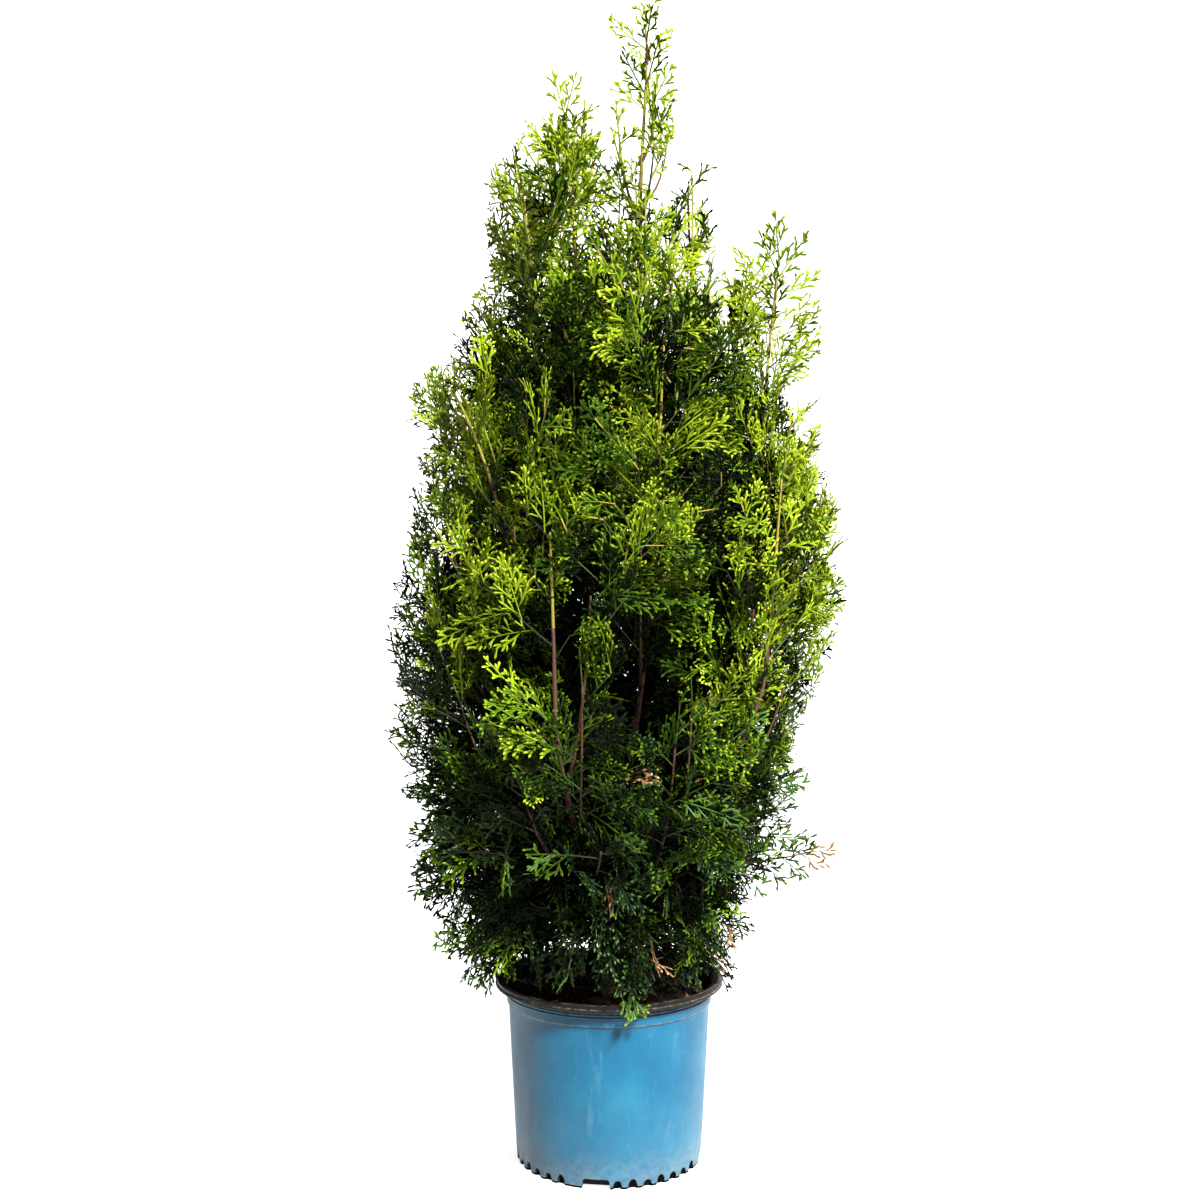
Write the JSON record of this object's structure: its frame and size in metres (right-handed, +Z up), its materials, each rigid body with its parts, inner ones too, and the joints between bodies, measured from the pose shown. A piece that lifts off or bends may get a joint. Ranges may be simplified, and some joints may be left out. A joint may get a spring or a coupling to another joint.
{
  "type": "potted arborvitae",
  "caption": "Young evergreen arborvitae with upright stems and flat scale-leaf sprays, standing in a round plastic nursery pot.",
  "frame": {"origin": "centre of the pot's flat underside", "axes": "+Z up along the pot's axis and the plant's height, -Y towards the plant's front, +X to the right seen from the front"},
  "size_m": [0.5609, 0.5104, 1.4104],
  "materials": {
    "pot": "satin, scuffed, black inside and on the lip",
    "potting_mix": "damp shredded bark and peat",
    "bark": "thin, shallowly furrowed, red-brown",
    "foliage": "waxy scale leaves, semi-matte",
    "fresh_foliage": "waxy scale leaves with lime tips, semi-matte",
    "withered_foliage": "dry and matte"
  },
  "bodies": {
    "root": {"pot": "pot", "potting_mix": "potting_mix", "trunk": "bark", "bough_tall_left": "bark", "bough_mid_left": "bark", "bough_tall_right": "bark", "bough_far_right": "bark", "bough_inner_right": "bark", "bough_leaning_left": "bark", "bough_far_left": "bark", "bough_front": "bark", "bough_front_left": "bark", "bough_front_right": "bark", "bough_back": "bark", "bough_back_right": "bark", "bough_back_left": "bark", "foliage_top": "fresh_foliage", "foliage_tall_left": "fresh_foliage", "foliage_mid_left": "fresh_foliage", "foliage_tall_right": "fresh_foliage", "foliage_far_right": "fresh_foliage", "foliage_inner_right": "fresh_foliage", "foliage_leaning_left": "fresh_foliage", "foliage_far_left": "fresh_foliage", "foliage_front": "fresh_foliage", "foliage_front_left": "fresh_foliage", "foliage_front_right": "fresh_foliage", "foliage_back": "fresh_foliage", "foliage_back_right": "fresh_foliage", "foliage_back_left": "fresh_foliage", "foliage_spire_1": "foliage", "foliage_spire_2": "foliage", "foliage_spire_3": "foliage", "foliage_spire_4": "foliage", "foliage_skirt_1": "foliage", "foliage_skirt_2": "foliage", "foliage_skirt_3": "foliage", "foliage_skirt_4": "foliage", "foliage_skirt_5": "foliage", "foliage_skirt_6": "foliage", "foliage_skirt_7": "foliage", "foliage_lower_1": "foliage", "foliage_lower_2": "foliage", "foliage_lower_3": "foliage", "foliage_lower_4": "foliage", "foliage_lower_5": "foliage", "foliage_lower_6": "foliage", "foliage_lower_7": "foliage", "foliage_middle_1": "foliage", "foliage_middle_2": "foliage", "foliage_middle_3": "foliage", "foliage_middle_4": "foliage", "foliage_middle_5": "foliage", "foliage_middle_6": "foliage", "foliage_middle_7": "foliage", "foliage_inner_1": "foliage", "foliage_inner_2": "foliage", "foliage_inner_3": "foliage", "foliage_inner_4": "foliage", "foliage_withered": "withered_foliage"}
  },
  "joints": []
}
